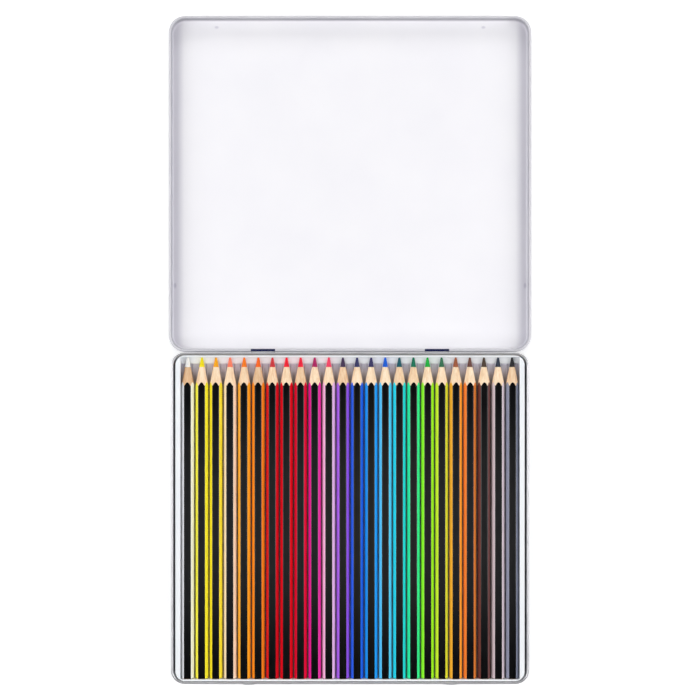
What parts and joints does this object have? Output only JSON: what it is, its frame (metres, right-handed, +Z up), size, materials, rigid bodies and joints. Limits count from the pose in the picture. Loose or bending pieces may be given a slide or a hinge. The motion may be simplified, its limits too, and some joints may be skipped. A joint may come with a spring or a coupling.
{
  "type": "colored pencil box",
  "caption": "Flat hinged tin lying open, with a row of six-sided colouring pencils in a white grooved tray.",
  "frame": {"origin": "centre of the base's flat underside, on the surface that the tin lies on", "axes": "+X along the hinge to the right, +Y from the base towards the open lid, +Z up"},
  "size_m": [0.1986, 0.3651, 0.0123],
  "materials": {
    "tin_outside": "gloss lacquer",
    "tin_inside": "white enamel",
    "tray_plastic": "satin",
    "lacquer_white": "gloss lacquer on wood",
    "pigment_white": "matt pigment",
    "lacquer_lemon": "gloss lacquer on wood",
    "pigment_lemon": "matt pigment",
    "lacquer_golden_yellow": "gloss lacquer on wood",
    "pigment_golden_yellow": "matt pigment",
    "lacquer_peach": "gloss lacquer on wood",
    "pigment_peach": "matt pigment",
    "lacquer_light_orange": "gloss lacquer on wood",
    "pigment_light_orange": "matt pigment",
    "lacquer_orange": "gloss lacquer on wood",
    "pigment_orange": "matt pigment",
    "lacquer_dark_red": "gloss lacquer on wood",
    "pigment_dark_red": "matt pigment",
    "lacquer_red": "gloss lacquer on wood",
    "pigment_red": "matt pigment",
    "lacquer_crimson": "gloss lacquer on wood",
    "pigment_crimson": "matt pigment",
    "lacquer_magenta": "gloss lacquer on wood",
    "pigment_magenta": "matt pigment",
    "lacquer_pink": "gloss lacquer on wood",
    "pigment_pink": "matt pigment",
    "lacquer_violet": "gloss lacquer on wood",
    "pigment_violet": "matt pigment",
    "lacquer_dark_blue": "gloss lacquer on wood",
    "pigment_dark_blue": "matt pigment",
    "lacquer_blue": "gloss lacquer on wood",
    "pigment_blue": "matt pigment",
    "lacquer_sky_blue": "gloss lacquer on wood",
    "pigment_sky_blue": "matt pigment",
    "lacquer_turquoise": "gloss lacquer on wood",
    "pigment_turquoise": "matt pigment",
    "lacquer_sea_green": "gloss lacquer on wood",
    "pigment_sea_green": "matt pigment",
    "lacquer_green": "gloss lacquer on wood",
    "pigment_green": "matt pigment",
    "lacquer_leaf_green": "gloss lacquer on wood",
    "pigment_leaf_green": "matt pigment",
    "lacquer_ochre": "gloss lacquer on wood",
    "pigment_ochre": "matt pigment",
    "lacquer_light_brown": "gloss lacquer on wood",
    "pigment_light_brown": "matt pigment",
    "lacquer_dark_brown": "gloss lacquer on wood",
    "pigment_dark_brown": "matt pigment",
    "lacquer_grey": "gloss lacquer on wood",
    "pigment_grey": "matt pigment",
    "lacquer_black": "gloss lacquer on wood",
    "pigment_black": "matt pigment"
  },
  "bodies": {
    "base": {"tin_base": "tin_outside"},
    "lid": {"tin_lid": "tin_inside"},
    "tray": {"pencil_tray": "tray_plastic"},
    "pencil_01_white": {"casing_01_white": "lacquer_white", "lead_01_white": "pigment_white"},
    "pencil_02_lemon": {"casing_02_lemon": "lacquer_lemon", "lead_02_lemon": "pigment_lemon"},
    "pencil_03_golden_yellow": {"casing_03_golden_yellow": "lacquer_golden_yellow", "lead_03_golden_yellow": "pigment_golden_yellow"},
    "pencil_04_peach": {"casing_04_peach": "lacquer_peach", "lead_04_peach": "pigment_peach"},
    "pencil_05_light_orange": {"casing_05_light_orange": "lacquer_light_orange", "lead_05_light_orange": "pigment_light_orange"},
    "pencil_06_orange": {"casing_06_orange": "lacquer_orange", "lead_06_orange": "pigment_orange"},
    "pencil_07_dark_red": {"casing_07_dark_red": "lacquer_dark_red", "lead_07_dark_red": "pigment_dark_red"},
    "pencil_08_red": {"casing_08_red": "lacquer_red", "lead_08_red": "pigment_red"},
    "pencil_09_crimson": {"casing_09_crimson": "lacquer_crimson", "lead_09_crimson": "pigment_crimson"},
    "pencil_10_magenta": {"casing_10_magenta": "lacquer_magenta", "lead_10_magenta": "pigment_magenta"},
    "pencil_11_pink": {"casing_11_pink": "lacquer_pink", "lead_11_pink": "pigment_pink"},
    "pencil_12_violet": {"casing_12_violet": "lacquer_violet", "lead_12_violet": "pigment_violet"},
    "pencil_13_dark_blue": {"casing_13_dark_blue": "lacquer_dark_blue", "lead_13_dark_blue": "pigment_dark_blue"},
    "pencil_14_blue": {"casing_14_blue": "lacquer_blue", "lead_14_blue": "pigment_blue"},
    "pencil_15_sky_blue": {"casing_15_sky_blue": "lacquer_sky_blue", "lead_15_sky_blue": "pigment_sky_blue"},
    "pencil_16_turquoise": {"casing_16_turquoise": "lacquer_turquoise", "lead_16_turquoise": "pigment_turquoise"},
    "pencil_17_sea_green": {"casing_17_sea_green": "lacquer_sea_green", "lead_17_sea_green": "pigment_sea_green"},
    "pencil_18_green": {"casing_18_green": "lacquer_green", "lead_18_green": "pigment_green"},
    "pencil_19_leaf_green": {"casing_19_leaf_green": "lacquer_leaf_green", "lead_19_leaf_green": "pigment_leaf_green"},
    "pencil_20_ochre": {"casing_20_ochre": "lacquer_ochre", "lead_20_ochre": "pigment_ochre"},
    "pencil_21_light_brown": {"casing_21_light_brown": "lacquer_light_brown", "lead_21_light_brown": "pigment_light_brown"},
    "pencil_22_dark_brown": {"casing_22_dark_brown": "lacquer_dark_brown", "lead_22_dark_brown": "pigment_dark_brown"},
    "pencil_23_grey": {"casing_23_grey": "lacquer_grey", "lead_23_grey": "pigment_grey"},
    "pencil_24_black": {"casing_24_black": "lacquer_black", "lead_24_black": "pigment_black"}
  },
  "joints": [
    {"name": "lid_hinge", "type": "hinge", "parent": "base", "child": "lid", "pos_m": [0, 0.0912, 0.0065], "axis": [-1, 0, 0], "range_deg": [-180, 0]},
    {"name": "tray_lift", "type": "slide", "parent": "base", "child": "tray", "axis": [0, 0, 1], "range_m": [0, 0.03]},
    {"name": "pencil_01_white_lift", "type": "slide", "parent": "tray", "child": "pencil_01_white", "axis": [0, 0, 1], "range_m": [0, 0.025]},
    {"name": "pencil_02_lemon_lift", "type": "slide", "parent": "tray", "child": "pencil_02_lemon", "axis": [0, 0, 1], "range_m": [0, 0.025]},
    {"name": "pencil_03_golden_yellow_lift", "type": "slide", "parent": "tray", "child": "pencil_03_golden_yellow", "axis": [0, 0, 1], "range_m": [0, 0.025]},
    {"name": "pencil_04_peach_lift", "type": "slide", "parent": "tray", "child": "pencil_04_peach", "axis": [0, 0, 1], "range_m": [0, 0.025]},
    {"name": "pencil_05_light_orange_lift", "type": "slide", "parent": "tray", "child": "pencil_05_light_orange", "axis": [0, 0, 1], "range_m": [0, 0.025]},
    {"name": "pencil_06_orange_lift", "type": "slide", "parent": "tray", "child": "pencil_06_orange", "axis": [0, 0, 1], "range_m": [0, 0.025]},
    {"name": "pencil_07_dark_red_lift", "type": "slide", "parent": "tray", "child": "pencil_07_dark_red", "axis": [0, 0, 1], "range_m": [0, 0.025]},
    {"name": "pencil_08_red_lift", "type": "slide", "parent": "tray", "child": "pencil_08_red", "axis": [0, 0, 1], "range_m": [0, 0.025]},
    {"name": "pencil_09_crimson_lift", "type": "slide", "parent": "tray", "child": "pencil_09_crimson", "axis": [0, 0, 1], "range_m": [0, 0.025]},
    {"name": "pencil_10_magenta_lift", "type": "slide", "parent": "tray", "child": "pencil_10_magenta", "axis": [0, 0, 1], "range_m": [0, 0.025]},
    {"name": "pencil_11_pink_lift", "type": "slide", "parent": "tray", "child": "pencil_11_pink", "axis": [0, 0, 1], "range_m": [0, 0.025]},
    {"name": "pencil_12_violet_lift", "type": "slide", "parent": "tray", "child": "pencil_12_violet", "axis": [0, 0, 1], "range_m": [0, 0.025]},
    {"name": "pencil_13_dark_blue_lift", "type": "slide", "parent": "tray", "child": "pencil_13_dark_blue", "axis": [0, 0, 1], "range_m": [0, 0.025]},
    {"name": "pencil_14_blue_lift", "type": "slide", "parent": "tray", "child": "pencil_14_blue", "axis": [0, 0, 1], "range_m": [0, 0.025]},
    {"name": "pencil_15_sky_blue_lift", "type": "slide", "parent": "tray", "child": "pencil_15_sky_blue", "axis": [0, 0, 1], "range_m": [0, 0.025]},
    {"name": "pencil_16_turquoise_lift", "type": "slide", "parent": "tray", "child": "pencil_16_turquoise", "axis": [0, 0, 1], "range_m": [0, 0.025]},
    {"name": "pencil_17_sea_green_lift", "type": "slide", "parent": "tray", "child": "pencil_17_sea_green", "axis": [0, 0, 1], "range_m": [0, 0.025]},
    {"name": "pencil_18_green_lift", "type": "slide", "parent": "tray", "child": "pencil_18_green", "axis": [0, 0, 1], "range_m": [0, 0.025]},
    {"name": "pencil_19_leaf_green_lift", "type": "slide", "parent": "tray", "child": "pencil_19_leaf_green", "axis": [0, 0, 1], "range_m": [0, 0.025]},
    {"name": "pencil_20_ochre_lift", "type": "slide", "parent": "tray", "child": "pencil_20_ochre", "axis": [0, 0, 1], "range_m": [0, 0.025]},
    {"name": "pencil_21_light_brown_lift", "type": "slide", "parent": "tray", "child": "pencil_21_light_brown", "axis": [0, 0, 1], "range_m": [0, 0.025]},
    {"name": "pencil_22_dark_brown_lift", "type": "slide", "parent": "tray", "child": "pencil_22_dark_brown", "axis": [0, 0, 1], "range_m": [0, 0.025]},
    {"name": "pencil_23_grey_lift", "type": "slide", "parent": "tray", "child": "pencil_23_grey", "axis": [0, 0, 1], "range_m": [0, 0.025]},
    {"name": "pencil_24_black_lift", "type": "slide", "parent": "tray", "child": "pencil_24_black", "axis": [0, 0, 1], "range_m": [0, 0.025]}
  ]
}
